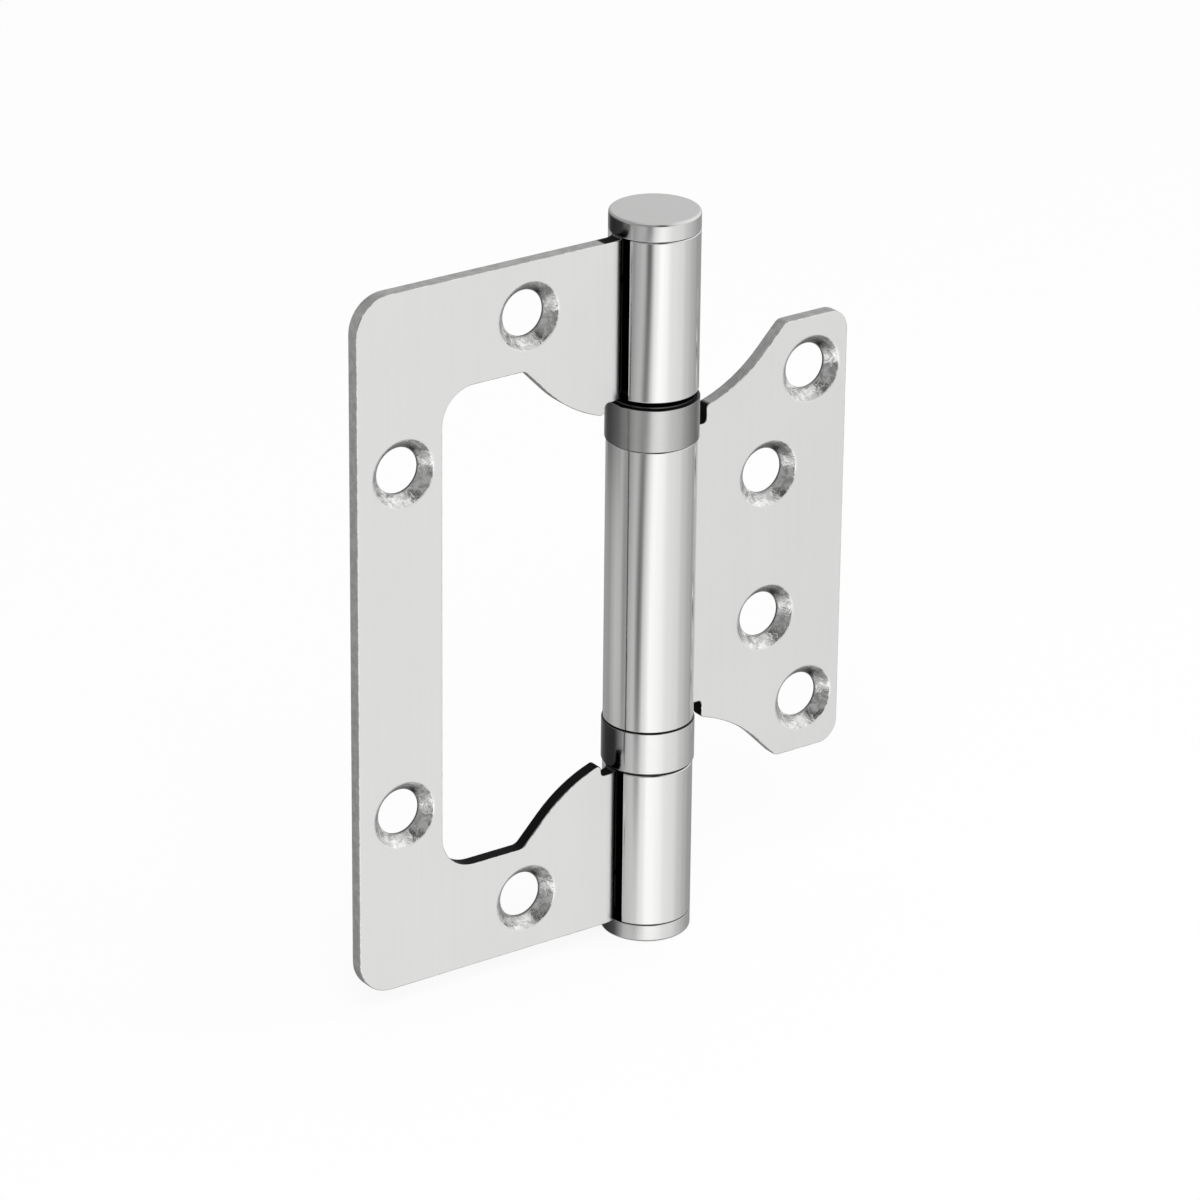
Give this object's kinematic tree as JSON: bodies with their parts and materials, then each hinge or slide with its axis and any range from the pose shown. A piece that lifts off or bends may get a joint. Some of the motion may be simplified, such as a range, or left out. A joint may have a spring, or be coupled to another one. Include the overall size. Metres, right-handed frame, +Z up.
{
  "type": "butterfly hinge",
  "caption": "Flush butterfly door hinge in brushed steel: the small leaf nests in the window of the large leaf, and thrust ball bearings carry it on the pin.",
  "frame": {"origin": "on the pin axis, halfway up the large leaf", "axes": "+Z up along the pin, -X towards the large leaf, -Y out of the faces that take the screw heads"},
  "size_m": [0.0803, 0.0128, 0.1052],
  "materials": {
    "leaf_steel": "satin, brushed along the barrel",
    "turned_steel": "turned and polished",
    "pin_steel": "ground",
    "bearing_steel": "ground and polished",
    "cage_steel": "pressed sheet"
  },
  "bodies": {
    "large_leaf_side": {"large_leaf": "leaf_steel", "hinge_pin": "pin_steel", "top_cap": "turned_steel", "bottom_cap": "turned_steel", "upper_free_race": "bearing_steel", "lower_free_race": "bearing_steel"},
    "small_leaf_side": {"small_leaf": "leaf_steel", "upper_bearing_cup": "turned_steel", "upper_seated_race": "bearing_steel", "lower_bearing_cup": "turned_steel", "lower_seated_race": "bearing_steel"},
    "upper_ball_set": {"upper_ball_cage": "cage_steel", "upper_ball_1": "bearing_steel", "upper_ball_2": "bearing_steel", "upper_ball_3": "bearing_steel", "upper_ball_4": "bearing_steel", "upper_ball_5": "bearing_steel", "upper_ball_6": "bearing_steel"},
    "lower_ball_set": {"lower_ball_cage": "cage_steel", "lower_ball_1": "bearing_steel", "lower_ball_2": "bearing_steel", "lower_ball_3": "bearing_steel", "lower_ball_4": "bearing_steel", "lower_ball_5": "bearing_steel", "lower_ball_6": "bearing_steel"}
  },
  "joints": [
    {"name": "leaf_swing", "type": "hinge", "parent": "large_leaf_side", "child": "small_leaf_side", "pos_m": [0, 0, 0], "axis": [0, 0, -1], "range_deg": [0, 180]},
    {"name": "upper_balls_roll", "type": "hinge", "parent": "large_leaf_side", "child": "upper_ball_set", "pos_m": [0, 0, 0], "axis": [0, 0, -1], "range_deg": [0, 90]},
    {"name": "lower_balls_roll", "type": "hinge", "parent": "large_leaf_side", "child": "lower_ball_set", "pos_m": [0, 0, 0], "axis": [0, 0, -1], "range_deg": [0, 90]}
  ],
  "couplings": [
    {"joint": "upper_balls_roll", "follows": "leaf_swing", "ratio": 0.5},
    {"joint": "lower_balls_roll", "follows": "leaf_swing", "ratio": 0.5}
  ]
}
